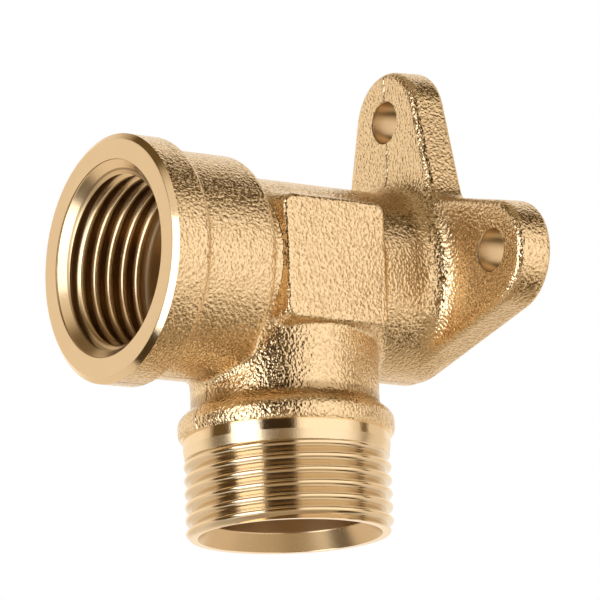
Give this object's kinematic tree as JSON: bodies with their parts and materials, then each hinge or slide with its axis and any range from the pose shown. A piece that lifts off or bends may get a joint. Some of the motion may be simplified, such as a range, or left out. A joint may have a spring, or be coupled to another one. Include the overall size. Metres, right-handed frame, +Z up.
{
  "type": "wall plate elbow",
  "caption": "Forged brass elbow with a screw-on wall plate, a female threaded socket facing out of the wall and a male threaded outlet at right angles.",
  "frame": {"origin": "on the wall face of the plate, on the socket's axis", "axes": "-Y out of the wall along the socket's axis, +Y into the wall, -Z along the male outlet, +Z up, towards the top ear, X across the side ears"},
  "size_m": [0.0498, 0.0417, 0.0548],
  "materials": {
    "brass": "as forged with fine grain; mouth, chamfers, bores and threads turned bright"
  },
  "bodies": {
    "root": {"elbow_body": "brass"}
  },
  "joints": []
}
